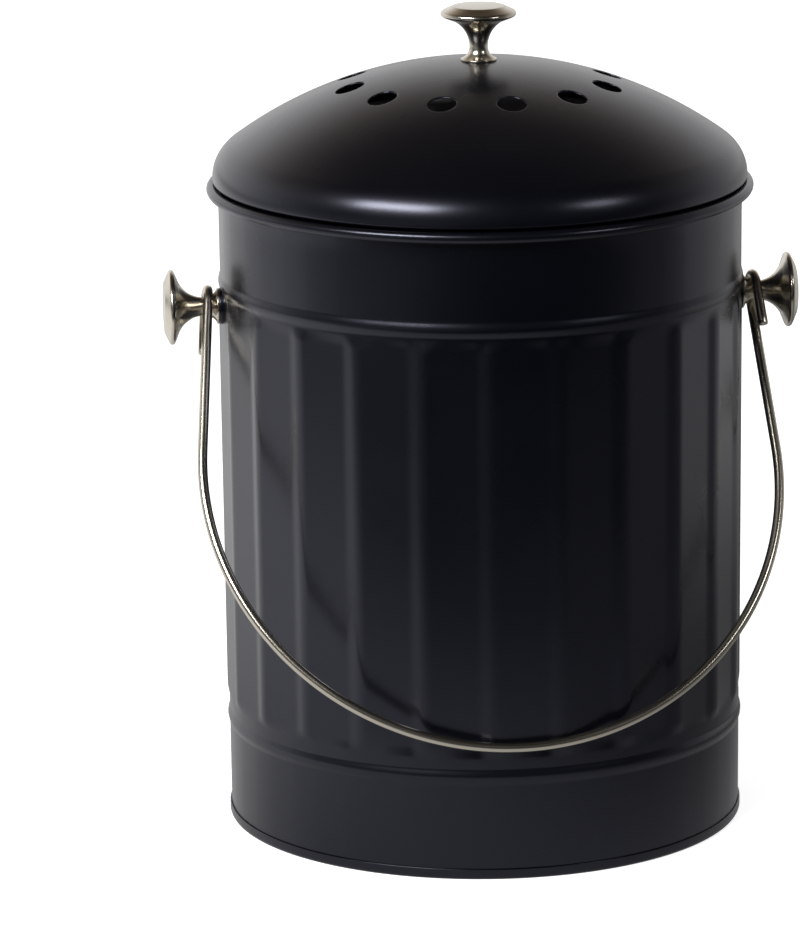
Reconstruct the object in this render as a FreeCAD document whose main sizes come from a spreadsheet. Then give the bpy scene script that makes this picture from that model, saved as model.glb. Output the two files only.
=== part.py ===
import FreeCAD, Part
import math
import os
import re

import Sketcher

# Kitchen compost bin: fluted steel pail, wire bail on two knobs, vented lid with a charcoal filter.
# Frame: +Z up, origin on the pail's axis at the table, handle knobs on the X axis, front at -Y.

SIZES = (
    # Pail wall, rolled from one sheet
    ("sheet", 0.6, "thickness of the steel sheet"),
    ("pail_height", 225.0, "table to the top of the rim"),
    ("wall_radius_top", 90.4, "outside of the plain wall at rim height"),
    ("wall_draft", 1.05, "how much narrower the plain wall is at the table"),
    ("rim_reach", 4.0, "rolled rim beyond the plain wall"),
    ("rim_roll", 2.0, "outside radius of the rim's roll"),
    ("flare_drop", 9.0, "rim top to the start of the flare"),
    ("bead_rise", 0.9, "height of a rolled bead above the wall"),
    ("bead_half", 3.2, "half the height of a rolled bead"),
    ("upper_bead_drop", 33.5, "rim top to the middle of the upper bead"),
    ("lower_bead", 36.0, "table to the middle of the lower bead"),
    # Flutes pressed in the wall between the beads
    ("flute_count", 24, "flutes round the wall"),
    ("flute_turn", 26.7, "angle from +X to the crest of one flute"),
    ("flute_crest", 0.85, "crest above the plain wall, before rounding"),
    ("flute_foot", 0.4, "foot below the plain wall"),
    ("flank_angle", 3.3, "angle from the foot up to the crest"),
    ("crest_angle", 1.2, "half the angle of the rounded crest"),
    ("crest_radius", 10.0, "rounding of the crest"),
    ("flute_low_margin", 6.5, "middle of the lower bead to the flutes"),
    ("flute_high_margin", 4.0, "middle of the upper bead to the flutes"),
    ("flute_fade", 4.0, "height over which a flute rises from the wall"),
    ("band_outside", 0.05, "first band of the wall below the foot, covered by the flutes"),
    ("band_inside", 1.2, "first band of the wall inside the sheet, cut away with the flutes"),
    ("flute_root", 1.0, "how far a flute reaches in or past that band"),
    # Base, folded round the lower edge of the wall
    ("seam_height", 3.8, "height of the seam ring"),
    ("seam_fit", 0.03, "play between the wall and the folded channel"),
    ("seam_round", 0.5, "rounding of the seam's lower corners"),
    ("panel_lift", 3.0, "table to the underside of the base panel"),
    ("panel_step", 1.4, "step of the base panel's raised middle"),
    ("panel_step_radius", 74.0, "radius of the raised middle"),
    # Knobs
    ("knob_height", 19.25, "seat to the top of a knob"),
    ("knob_flange_radius", 6.2, "foot flange of a knob"),
    ("knob_flange_edge", 0.7, "thickness of the foot flange"),
    ("knob_neck_radius", 3.2, "neck of a knob"),
    ("knob_neck_low", 4.8, "seat to the lower end of the neck"),
    ("knob_neck_high", 5.0, "seat to the upper end of the neck"),
    ("knob_bell_end", 8.5, "radius where the hollow meets the head"),
    ("knob_bell_height", 13.8, "seat to that end of the hollow"),
    ("knob_head_radius", 13.0, "widest radius of the head"),
    ("knob_edge_low", 15.41, "seat to the lower side of the head's edge"),
    ("knob_edge_height", 1.89, "height of the head's rounded edge"),
    ("knob_edge_inset", 0.59, "how far the edge's two corners lie inside the widest radius"),
    ("knob_top_radius", 8.8, "top face of the head"),
    ("knob_top_round", 30.0, "curve of the sloping shoulder"),
    ("knob_crown_drop", 0.25, "middle of the top face down to its edge"),
    ("knob_crown_flat", 1.0, "radius of the flat that the tool leaves in the middle"),
    # Screws and washers
    ("screw_radius", 2.0, "shank of a knob screw"),
    ("screw_grip", 9.0, "length of shank inside a knob"),
    ("screw_head_radius", 3.8, "head of a knob screw"),
    ("screw_head_height", 2.4, "height of the head"),
    ("screw_head_round", 1.2, "rounding of the head"),
    ("screw_play", 0.05, "radial play of a screw in its knob"),
    ("screw_hole_radius", 2.3, "hole for a screw in the sheet"),
    ("screw_end_gap", 1.0, "free depth beyond the end of a screw"),
    ("washer_radius", 5.0, "outside of a washer"),
    ("washer_thickness", 0.8, "thickness of a washer"),
    # Handle pivots
    ("pivot_drop", 8.7, "middle of the upper bead to the handle's axis"),
    ("seat_radius", 6.3, "round flat seat under a handle knob"),
    ("seat_rise", 0.75, "seat's outer face above the plain wall"),
    ("seat_back", 1.15, "seat's inner face below the plain wall"),
    # Bail of bent wire
    ("wire", 3.4, "diameter of the wire"),
    ("grip_height", 47.3, "table to the middle of the grip"),
    ("bow_radius", 100.0, "radius of the bow"),
    ("hook_radius", 6.06, "bend of the hook round a neck"),
    ("hook_drop", 0.4, "handle axis down to the start of the bend"),
    ("hook_stand", 4.0, "seat to the middle of the leg at the hook"),
    ("hook_tail", 15.0, "straight length of the cut end"),
    ("bail_gap", 0.1, "air between the resting bail and the unrounded crests"),
    # Lid
    ("lid_gap", 0.3, "air between the lid's lip and the rim"),
    ("lid_inset", 2.1, "edge of the lid inside the edge of the rim"),
    ("dome_radius", 146.7, "radius of the dome"),
    ("edge_radius", 14.3, "rounding of the dome's edge"),
    ("hem_radius", 1.5, "bend from the edge to the lip"),
    ("lip_width", 3.1, "width of the turned-in lip"),
    ("vent_count", 12, "vents round the dome"),
    ("vent_radius", 5.0, "radius of a vent"),
    ("vent_ring", 45.5, "radius of the ring of vents"),
    ("vent_turn", 8.3, "angle from +X to the first vent"),
    ("lid_seat_radius", 6.5, "flat seat pressed in the middle of the dome"),
    # Skirt that drops in the mouth
    ("skirt_play", 0.7, "play between the skirt and the wall inside"),
    ("skirt_depth", 12.0, "depth of the skirt below the lip"),
    ("skirt_flange", 1.6, "width of the skirt's flange on the lip"),
    # Filter
    ("collar_radius", 62.0, "inside of the filter collar"),
    ("collar_depth", 30.0, "top of the dome to the collar's lower edge"),
    ("collar_flange", 5.0, "width of the collar's welded flange"),
    ("cup_play", 0.06, "radial play of the cup in the collar"),
    ("cup_wall", 1.6, "thickness of the cup"),
    ("cup_height", 13.0, "height of the cup's wall above its finger rim"),
    ("cup_rim_width", 3.5, "finger rim beyond the collar's inside"),
    ("cup_rim_gap", 0.2, "air between the finger rim and the collar"),
    ("slot_count", 16, "slots in each ring of the cup's floor"),
    ("slot_turn", 45.0, "angle from +X to the middle of one slot"),
    ("slot_angle", 4.0, "half the angle of a slot"),
    ("slot_inner", 11.0, "inner end of the inner slots"),
    ("slot_middle", 31.0, "outer end of the inner slots"),
    ("slot_outer", 55.0, "outer end of the outer slots"),
    ("slot_bridge", 5.0, "bridge between the two rings of slots"),
    ("filter_play", 0.4, "play of the filter in the cup"),
    ("filter_thickness", 8.0, "thickness of the charcoal filter"),
    ("filter_round", 1.5, "rounding of the filter's edges"),
)

# Places worked out from the sizes
PLACES = (
    ("wall_radius_base", "wall_radius_top - wall_draft"),
    ("wall_taper", "wall_draft / pail_height"),
    ("rim_radius", "wall_radius_top + rim_reach"),
    ("lid_radius", "rim_radius - lid_inset"),
    ("upper_bead", "pail_height - upper_bead_drop"),
    ("flute_low", "lower_bead + flute_low_margin"),
    ("flute_high", "upper_bead - flute_high_margin"),
    ("pivot_height", "upper_bead - pivot_drop"),
    ("bead_radius", "(bead_half * bead_half + bead_rise * bead_rise) / (2 * bead_rise)"),
    ("roll_centre_radius", "rim_radius - rim_roll"),
    ("roll_centre_height", "pail_height - rim_roll"),
    ("flute_pitch", "360 / flute_count"),
    ("seat_plane", "wall_radius_base + wall_taper * pivot_height + seat_rise"),
    ("seat_inside", "wall_radius_base + wall_taper * pivot_height - seat_back"),
    ("lip_height", "pail_height + lid_gap"),
    ("edge_height", "lip_height + hem_radius"),
    ("dome_side", "lid_radius - edge_radius"),
    ("dome_rise", "sqrt(pow(dome_radius - edge_radius; 2) - pow(dome_side; 2))"),
    ("dome_top", "edge_height + dome_radius - dome_rise"),
    ("dome_centre", "dome_top - dome_radius"),
    ("join_share", "1 / (dome_radius - edge_radius)"),
    ("lid_seat", "dome_centre + sqrt(pow(dome_radius; 2) - pow(lid_seat_radius; 2))"),
    ("lid_seat_inner", "sqrt(pow(dome_radius - sheet; 2) - pow(lid_seat - sheet - dome_centre; 2))"),
    ("skirt_radius", "wall_radius_top - sheet - skirt_play"),
    ("collar_height", "dome_top - collar_depth"),
    ("cup_radius", "collar_radius - cup_play"),
    ("cup_floor", "collar_height - cup_rim_gap - cup_wall"),
    ("filter_radius", "cup_radius - cup_wall - filter_play"),
)

doc = FreeCAD.newDocument("compost_bin")
NAMES = {alias: "Sizes." + alias for alias, value, note in SIZES}
NAMES.update({alias: "Places." + alias for alias, text in PLACES})


def bind(text):
    """Put the sheet's name before each size and place in an expression."""
    return re.sub(r"[a-z_]+", lambda word: NAMES.get(word.group(), word.group()), text)


def fill_sheets():
    """Write the sizes as plain numbers and the places as formulas, each with its alias."""
    sizes = doc.addObject("Spreadsheet::Sheet", "Sizes")
    for row, (alias, value, note) in enumerate(SIZES, start=1):
        sizes.set("A%d" % row, str(value))
        sizes.setAlias("A%d" % row, alias)
        sizes.set("B%d" % row, note)
    doc.recompute()
    places = doc.addObject("Spreadsheet::Sheet", "Places")
    for row, (alias, text) in enumerate(PLACES, start=1):
        places.set("A%d" % row, "=" + bind(text))
        places.setAlias("A%d" % row, alias)
        doc.recompute()
    return sizes


sheet_of_sizes = fill_sheets()


def number(text):
    """Value of an expression of sizes and places."""
    return float(sheet_of_sizes.evalExpression(bind(text)))


def wall_at(height):
    """Expression for the outside radius of the plain wall at a height."""
    return "(wall_radius_base + wall_taper * (%s))" % height


def new_body(label):
    """Body with a label of its own."""
    body = doc.addObject("PartDesign::Body", label)
    body.Label = label
    return body


def plane_of(body, role):
    """One of the body's own origin planes or axes."""
    return next(item for item in body.Origin.OriginFeatures if item.Role == role)


def arc_between(start, end, radius, side):
    """Arc from start to end with its centre on the left (side 1) or right (side -1) of the way."""
    chord = end - start
    across = FreeCAD.Vector(-chord.y, chord.x, 0).normalize() * side
    height = math.sqrt(max(radius ** 2 - (chord.Length / 2) ** 2, 0.0))
    centre = start + chord * 0.5 + across * height
    first, last = (start, end) if side > 0 else (end, start)
    angles = [math.atan2(point.y - centre.y, point.x - centre.x) for point in (first, last)]
    circle = Part.Circle(centre, FreeCAD.Vector(0, 0, 1), radius)
    return Part.ArcOfCircle(circle, angles[0], angles[1])


def outline(body, name, plane, points, bends=None, lift=None):
    """Closed sketch through points of two expressions each.

    bends gives (radius, side) for each edge that is an arc, counted from the point that it leaves.
    lift moves the sketch along the plane's normal.
    """
    bends = bends or {}
    sketch = body.newObject("Sketcher::SketchObject", name)
    sketch.AttachmentSupport = (plane_of(body, plane), [""])
    sketch.MapMode = "FlatFace"
    if lift:
        sketch.setExpression("AttachmentOffset.Base.z", bind(lift))
    corners = [FreeCAD.Vector(number(x), number(y), 0) for x, y in points]
    edges = []
    ends = []
    for index, start in enumerate(corners):
        end = corners[(index + 1) % len(corners)]
        if index in bends:
            radius, side = bends[index]
            edges.append(arc_between(start, end, number(radius), side))
            ends.append((1, 2) if side > 0 else (2, 1))
        else:
            edges.append(Part.LineSegment(start, end))
            ends.append((1, 2))
    sketch.addGeometry(edges, False)
    rules = []
    sizes = []
    for index, (x, y) in enumerate(points):
        following = (index + 1) % len(points)
        rules.append(Sketcher.Constraint("Coincident", index, ends[index][1], following, ends[following][0]))
        for kind, text, axis in (("DistanceX", x, -2), ("DistanceY", y, -1)):
            if text == "0":
                rules.append(Sketcher.Constraint("PointOnObject", index, ends[index][0], axis))
            else:
                sizes.append((len(rules), "%s%d" % (kind, index), text))
                rules.append(Sketcher.Constraint(kind, -1, 1, index, ends[index][0], number(text)))
        if index in bends:
            sizes.append((len(rules), "Radius%d" % index, bends[index][0]))
            rules.append(Sketcher.Constraint("Radius", index, number(bends[index][0])))
    sketch.addConstraint(rules)
    for place, title, text in sizes:
        sketch.renameConstraint(place, title)
        sketch.setExpression("Constraints." + title, bind(text))
    return sketch


def disc(body, name, plane, centre, radius, lift=None):
    """Sketch of one circle, its centre and radius given as expressions."""
    sketch = body.newObject("Sketcher::SketchObject", name)
    sketch.AttachmentSupport = (plane_of(body, plane), [""])
    sketch.MapMode = "FlatFace"
    if lift:
        sketch.setExpression("AttachmentOffset.Base.z", bind(lift))
    middle = FreeCAD.Vector(number(centre[0]), number(centre[1]), 0)
    sketch.addGeometry(Part.Circle(middle, FreeCAD.Vector(0, 0, 1), number(radius)), False)
    for kind, text, axis in (("DistanceX", centre[0], -2), ("DistanceY", centre[1], -1)):
        if text == "0":
            sketch.addConstraint(Sketcher.Constraint("PointOnObject", 0, 3, axis))
        else:
            place = sketch.addConstraint(Sketcher.Constraint(kind, -1, 1, 0, 3, number(text)))
            sketch.setExpression("Constraints[%d]" % place, bind(text))
    place = sketch.addConstraint(Sketcher.Constraint("Radius", 0, number(radius)))
    sketch.setExpression("Constraints[%d]" % place, bind(radius))
    return sketch


def revolve(body, name, points, bends=None):
    """Solid of revolution about the body's own Z axis."""
    sketch = outline(body, name + "_profile", "XZ_Plane", points, bends)
    turn = body.newObject("PartDesign::Revolution", name)
    turn.Profile = sketch
    turn.ReferenceAxis = (sketch, ["V_Axis"])
    turn.Angle = 360
    sketch.Visibility = False
    return turn


def extrude(body, kind, name, sketch, length, reverse=False):
    """Pad or pocket of a given length."""
    feature = body.newObject("PartDesign::" + kind, name)
    feature.Profile = sketch
    feature.setExpression("Length", bind(length))
    feature.Reversed = reverse
    return feature


def loft(body, kind, name, sections):
    """Straight-sided loft through sketches of as many edges each."""
    feature = body.newObject("PartDesign::" + kind, name)
    feature.Profile = sections[0]
    feature.Sections = sections[1:]
    feature.Ruled = True
    return feature


def pattern(body, name, features, count):
    """Copies of the features all the way round the body's Z axis."""
    doc.recompute()
    ring = body.newObject("PartDesign::PolarPattern", name)
    ring.Originals = features
    ring.Axis = (plane_of(body, "Z_Axis"), [""])
    ring.Angle = 360
    ring.setExpression("Occurrences", bind(count))
    body.Tip = ring
    doc.recompute()
    return ring


def place(body, x="0", z="0", turn=None):
    """Set a body at a place on the X axis, turned if need be."""
    if turn:
        body.Placement = FreeCAD.Placement(FreeCAD.Vector(), turn)
    body.setExpression("Placement.Base.x", bind(x))
    body.setExpression("Placement.Base.z", bind(z))


ALONG_X = FreeCAD.Rotation(FreeCAD.Vector(0, 1, 0), 90)
AGAINST_X = FreeCAD.Rotation(FreeCAD.Vector(0, 1, 0), -90)


def on_line(first, second, angle):
    """Expression for the radius, at an angle, of the straight line between two polar points."""
    (near, start), (far, end) = first, second
    return "((%s) * (%s) * sin((%s) - (%s)) / ((%s) * sin((%s) - (%s)) + (%s) * sin((%s) - (%s))))" % (
        near, far, end, start, near, angle, start, far, end, angle)


def flute_section(body, name, height, core, inset, round_wall):
    """One pitch of the wall's section: foot, flank, rounded crest and the flat panel after it.

    core is the inner radius, inset the sheet's offset from the outer face. A round_wall section is
    the plain wall, with the same edges.
    """
    plain = "(%s - %s)" % (wall_at(height), inset)
    crest = ("(%s + flute_crest)" % plain, "0")
    foot = ("(%s - flute_foot)" % plain, "0 - flank_angle")
    next_foot = (foot[0], "flute_pitch - flank_angle")
    half = "flute_pitch / 2"
    stations = [
        (core, "0 - " + half),
        (on_line(crest, next_foot, half), "0 - " + half),
        foot,
        (on_line(foot, crest, "0 - crest_angle"), "0 - crest_angle"),
        (on_line(crest, next_foot, "crest_angle"), "crest_angle"),
        (on_line(crest, next_foot, half), half),
        (core, half),
    ]
    bends = {3: ("(crest_radius - %s)" % inset, 1)}
    if round_wall:
        stations[1:6] = [(plain, angle) for radius, angle in stations[1:6]]
        bends = {edge: (plain, 1) for edge in (1, 2, 3, 4)}
    points = [("(%s) * cos(flute_turn + (%s))" % station, "(%s) * sin(flute_turn + (%s))" % station)
              for station in stations]
    return outline(body, name, "XY_Plane", points, bends, lift=height)


def flutes(body, kind, name, core_depth, inset):
    """Loft of one flute, from the plain wall at its ends, repeated round the pail."""
    heights = ("flute_low", "flute_low + flute_fade", "flute_high - flute_fade", "flute_high")
    sections = []
    for index, height in enumerate(heights):
        core = "(%s - %s)" % (wall_at(height), core_depth)
        title = "%s_section_%d" % (name, index)
        sections.append(flute_section(body, title, height, core, inset, index in (0, 3)))
    flute = loft(body, kind, name, sections)
    return pattern(body, name + "s", [flute], "flute_count")


def build_pail_wall():
    """Fluted wall with two beads, a flared mouth and a rolled rim."""
    body = new_body("pail_wall")
    bead_ends = ("lower_bead - bead_half", "lower_bead + bead_half",
                 "upper_bead - bead_half", "upper_bead + bead_half")
    flare = "pail_height - flare_drop"
    floor = "sheet + seam_fit"
    band_out = "flute_foot + band_outside"
    band_in = "flute_foot + sheet + band_inside"
    left = "roll_centre_radius - rim_roll"
    hollow = "rim_roll - sheet"
    outside = [
        ("wall_radius_base", floor),
        ("wall_radius_base", "seam_height"),
        (wall_at(bead_ends[0]), bead_ends[0]),
        (wall_at(bead_ends[1]), bead_ends[1]),
        (wall_at("flute_low"), "flute_low"),
        (wall_at("flute_low") + " - (%s)" % band_out, "flute_low"),
        (wall_at("flute_high") + " - (%s)" % band_out, "flute_high"),
        (wall_at("flute_high"), "flute_high"),
        (wall_at(bead_ends[2]), bead_ends[2]),
        (wall_at(bead_ends[3]), bead_ends[3]),
        (wall_at(flare), flare),
    ]
    roll = [
        (left + " + sheet", "roll_centre_height"),
        ("roll_centre_radius", "roll_centre_height + " + hollow),
        ("roll_centre_radius + " + hollow, "roll_centre_height"),
        ("roll_centre_radius", "roll_centre_height - (%s)" % hollow),
        ("roll_centre_radius", "roll_centre_height - rim_roll"),
        ("rim_radius", "roll_centre_height"),
        ("roll_centre_radius", "pail_height"),
        (left, "roll_centre_height"),
    ]
    inside = [
        (wall_at(flare) + " - sheet", flare),
        (wall_at(bead_ends[3]) + " - sheet", bead_ends[3]),
        (wall_at(bead_ends[2]) + " - sheet", bead_ends[2]),
        (wall_at("flute_high") + " - sheet", "flute_high"),
        (wall_at("flute_high") + " - (%s)" % band_in, "flute_high"),
        (wall_at("flute_low") + " - (%s)" % band_in, "flute_low"),
        (wall_at("flute_low") + " - sheet", "flute_low"),
        (wall_at(bead_ends[1]) + " - sheet", bead_ends[1]),
        (wall_at(bead_ends[0]) + " - sheet", bead_ends[0]),
        ("wall_radius_base - sheet", "seam_height"),
        ("wall_radius_base - sheet", floor),
    ]
    first_roll = len(outside)
    first_inside = first_roll + len(roll)
    bends = {2: ("bead_radius", 1), 8: ("bead_radius", 1)}
    bends.update({first_roll + step: (hollow, -1) for step in (0, 1, 2)})
    bends.update({first_roll + step: ("rim_roll", 1) for step in (4, 5, 6)})
    bends.update({first_inside + step: ("bead_radius", -1) for step in (1, 7)})
    revolve(body, "wall", outside + roll + inside, bends)
    flutes(body, "AdditiveLoft", "flute", "(%s + flute_root)" % band_out, "0")
    flutes(body, "SubtractiveLoft", "hollow_flute", "(%s + flute_root)" % band_in, "sheet")
    seat = disc(body, "seat_profile", "YZ_Plane", ("0", "pivot_height"), "seat_radius", "seat_inside")
    pad = extrude(body, "Pad", "seat", seat, "seat_plane - seat_inside")
    hole = disc(body, "hole_profile", "YZ_Plane", ("0", "pivot_height"), "screw_hole_radius", "seat_inside")
    bore = extrude(body, "Pocket", "screw_hole", hole, "seat_plane - seat_inside", reverse=True)
    pattern(body, "seats", [pad, bore], "2")
    return body


def build_pail_base():
    """Base panel with a raised middle and a channel folded round the wall's lower edge."""
    body = new_body("pail_base")
    inner_leg = "wall_radius_base - sheet - seam_fit"
    outer_leg = "wall_radius_base + seam_fit"
    points = [
        ("0", "panel_lift + panel_step"),
        ("panel_step_radius - panel_step", "panel_lift + panel_step"),
        ("panel_step_radius", "panel_lift"),
        (inner_leg + " - sheet", "panel_lift"),
        (inner_leg + " - sheet", "seam_round"),
        (inner_leg + " - sheet + seam_round", "0"),
        (outer_leg + " + sheet - seam_round", "0"),
        (outer_leg + " + sheet", "seam_round"),
        (outer_leg + " + sheet", "seam_height"),
        (outer_leg, "seam_height"),
        (outer_leg, "sheet"),
        (inner_leg, "sheet"),
        (inner_leg, "panel_lift + sheet"),
        ("panel_step_radius", "panel_lift + sheet"),
        ("panel_step_radius - panel_step", "panel_lift + panel_step + sheet"),
        ("0", "panel_lift + panel_step + sheet"),
    ]
    revolve(body, "base", points, {4: ("seam_round", 1), 6: ("seam_round", 1)})
    return body


def tangent_radius(rise, run):
    """Expression for the radius of an arc that leaves a line along it and rises from it over a run."""
    return "(((%s) * (%s) + (%s) * (%s)) / (2 * (%s)))" % (rise, rise, run, run, rise)


def build_knob(label, x="0", z="0", turn=None):
    """Turned mushroom knob with a blind hole for its screw, standing on its own seat."""
    body = new_body(label)
    depth = "screw_grip + screw_end_gap"
    bore = "screw_radius + screw_play"
    points = [
        ("0", depth),
        (bore, depth),
        (bore, "0"),
        ("knob_flange_radius", "0"),
        ("knob_flange_radius", "knob_flange_edge"),
        ("knob_neck_radius", "knob_neck_low"),
        ("knob_neck_radius", "knob_neck_high"),
        ("knob_bell_end", "knob_bell_height"),
        ("knob_head_radius - knob_edge_inset", "knob_edge_low"),
        ("knob_head_radius - knob_edge_inset", "knob_edge_low + knob_edge_height"),
        ("knob_top_radius", "knob_height - knob_crown_drop"),
        ("knob_crown_flat", "knob_height"),
        ("0", "knob_height"),
    ]
    bends = {
        4: (tangent_radius("knob_flange_radius - knob_neck_radius", "knob_neck_low - knob_flange_edge"), -1),
        6: (tangent_radius("knob_bell_end - knob_neck_radius", "knob_bell_height - knob_neck_high"), -1),
        8: (tangent_radius("knob_edge_inset", "knob_edge_height / 2"), 1),
        9: ("knob_top_round", 1),
        10: (tangent_radius("knob_crown_drop", "knob_top_radius - knob_crown_flat"), 1),
    }
    revolve(body, "turning", points, bends)
    place(body, x, z, turn)
    return body


def build_screw(label, reach, x="0", z="0", turn=None):
    """Round-headed screw; the outer end of its head lies on its own origin, shank along +Z."""
    body = new_body(label)
    points = [
        ("screw_radius", reach),
        ("0", reach),
        ("0", "0"),
        ("screw_head_radius - screw_head_round", "0"),
        ("screw_head_radius", "screw_head_round"),
        ("screw_head_radius", "screw_head_height"),
        ("screw_radius", "screw_head_height"),
    ]
    revolve(body, "screw", points, {3: ("screw_head_round", 1)})
    place(body, x, z, turn)
    return body


def build_washer(label, x="0", z="0", turn=None):
    """Flat washer, its lower face on its own origin."""
    body = new_body(label)
    points = [
        ("screw_hole_radius", "0"),
        ("washer_radius", "0"),
        ("washer_radius", "washer_thickness"),
        ("screw_hole_radius", "washer_thickness"),
    ]
    revolve(body, "washer", points)
    place(body, x, z, turn)
    return body


def build_group(label, members):
    """Several like solids under one label."""
    group = doc.addObject("Part::Compound", label)
    group.Label = label
    group.Links = members
    return group


def build_handle_fixings():
    """Screws and washers that hold the two handle knobs from inside the pail."""
    washer_face = "seat_inside - washer_thickness"
    head_face = washer_face + " - screw_head_height"
    reach = "screw_head_height + washer_thickness + seat_plane - seat_inside + screw_grip"
    screws = []
    washers = []
    for side, sign, turn in (("left", "0 - ", AGAINST_X), ("right", "", ALONG_X)):
        at_head = "%s(%s)" % (sign, head_face)
        at_washer = "%s(%s)" % (sign, washer_face)
        screws.append(build_screw("screw_" + side, reach, at_head, "pivot_height", turn))
        washers.append(build_washer("washer_" + side, at_washer, "pivot_height", turn))
    return [build_group("handle_screws", screws), build_group("handle_washers", washers)]


def build_lid_dome():
    """Dome with a rounded edge, a turned-in lip and a ring of vents."""
    body = new_body("lid_dome")
    inner_dome = "dome_radius - sheet"
    points = [
        ("0", "lid_seat"),
        ("0", "lid_seat - sheet"),
        ("lid_seat_inner", "lid_seat - sheet"),
        ("(%s) * dome_side * join_share" % inner_dome,
         "dome_centre + (%s) * dome_rise * join_share" % inner_dome),
        ("lid_radius - sheet", "edge_height"),
        ("lid_radius - hem_radius", "lip_height + sheet"),
        ("lid_radius - lip_width", "lip_height + sheet"),
        ("lid_radius - lip_width", "lip_height"),
        ("lid_radius - hem_radius", "lip_height"),
        ("lid_radius", "edge_height"),
        ("dome_radius * dome_side * join_share", "dome_centre + dome_radius * dome_rise * join_share"),
        ("lid_seat_radius", "lid_seat"),
    ]
    bends = {
        2: (inner_dome, -1),
        3: ("edge_radius - sheet", -1),
        4: ("hem_radius - sheet", -1),
        8: ("hem_radius", 1),
        9: ("edge_radius", 1),
        10: ("dome_radius", 1),
    }
    revolve(body, "dome", points, bends)
    depth = "dome_top - edge_height"
    centre = ("vent_ring * cos(vent_turn)", "vent_ring * sin(vent_turn)")
    ring = disc(body, "vent_profile", "XY_Plane", centre, "vent_radius", "dome_top")
    vent = extrude(body, "Pocket", "vent", ring, depth)
    pattern(body, "vents", [vent], "vent_count")
    middle = disc(body, "hole_profile", "XY_Plane", ("0", "0"), "screw_hole_radius", "dome_top")
    extrude(body, "Pocket", "screw_hole", middle, depth)
    return body


def build_lid_skirt():
    """Ring with a flange on the lip and a wall that drops in the pail's mouth."""
    body = new_body("lid_skirt")
    points = [
        ("skirt_radius - sheet", "lip_height + 2 * sheet"),
        ("skirt_radius - sheet", "lip_height - skirt_depth"),
        ("skirt_radius", "lip_height - skirt_depth"),
        ("skirt_radius", "lip_height + sheet"),
        ("skirt_radius + skirt_flange", "lip_height + sheet"),
        ("skirt_radius + skirt_flange", "lip_height + 2 * sheet"),
    ]
    revolve(body, "skirt", points)
    return body


def build_filter_collar():
    """Ring that hangs from the dome by a flange of the dome's own curve."""
    body = new_body("filter_collar")
    under = "(dome_radius - sheet)"
    lower = "(dome_radius - 2 * sheet)"

    def below(radius, sphere):
        return "dome_centre + sqrt(pow(%s; 2) - pow(%s; 2))" % (sphere, radius)

    outside = "(collar_radius + sheet)"
    end = "(collar_radius + collar_flange)"
    points = [
        ("collar_radius", "collar_height"),
        (outside, "collar_height"),
        (outside, below(outside, lower)),
        (end, below(end, lower)),
        (end, below(end, under)),
        ("collar_radius", below("collar_radius", under)),
    ]
    revolve(body, "collar", points, {2: (lower, -1), 4: (under, 1)})
    return body


def build_filter_cup():
    """Cup with a slotted floor, pushed up in the collar, with a finger rim below it."""
    body = new_body("filter_cup")
    rim = "collar_radius + cup_rim_width"
    top = "cup_floor + cup_wall + cup_height"
    points = [
        ("0", "cup_floor"),
        (rim, "cup_floor"),
        (rim, "cup_floor + cup_wall"),
        ("cup_radius", "cup_floor + cup_wall"),
        ("cup_radius", top),
        ("cup_radius - cup_wall", top),
        ("cup_radius - cup_wall", "cup_floor + cup_wall"),
        ("0", "cup_floor + cup_wall"),
    ]
    revolve(body, "cup", points)
    rings = (("inner_slot", "slot_inner", "slot_middle"),
             ("outer_slot", "slot_middle + slot_bridge", "slot_outer"))
    for name, near, far in rings:
        corners = ((near, "-"), (far, "-"), (far, "+"), (near, "+"))
        points = [("(%s) * cos(slot_turn %s slot_angle)" % corner,
                   "(%s) * sin(slot_turn %s slot_angle)" % corner) for corner in corners]
        bends = {1: (far, 1), 3: (near, -1)}
        sketch = outline(body, name + "_profile", "XY_Plane", points, bends, "cup_floor")
        slot = extrude(body, "Pocket", name, sketch, "cup_wall", reverse=True)
        pattern(body, name + "s", [slot], "slot_count")
    return body


def build_charcoal_filter():
    """Disc of carbon felt with softly rounded edges, lying in the cup."""
    body = new_body("charcoal_filter")
    low = "cup_floor + cup_wall"
    high = low + " + filter_thickness"
    points = [
        ("0", low),
        ("filter_radius - filter_round", low),
        ("filter_radius", low + " + filter_round"),
        ("filter_radius", high + " - filter_round"),
        ("filter_radius - filter_round", high),
        ("0", high),
    ]
    revolve(body, "felt", points, {1: ("filter_round", 1), 3: ("filter_round", 1)})
    return body


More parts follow.
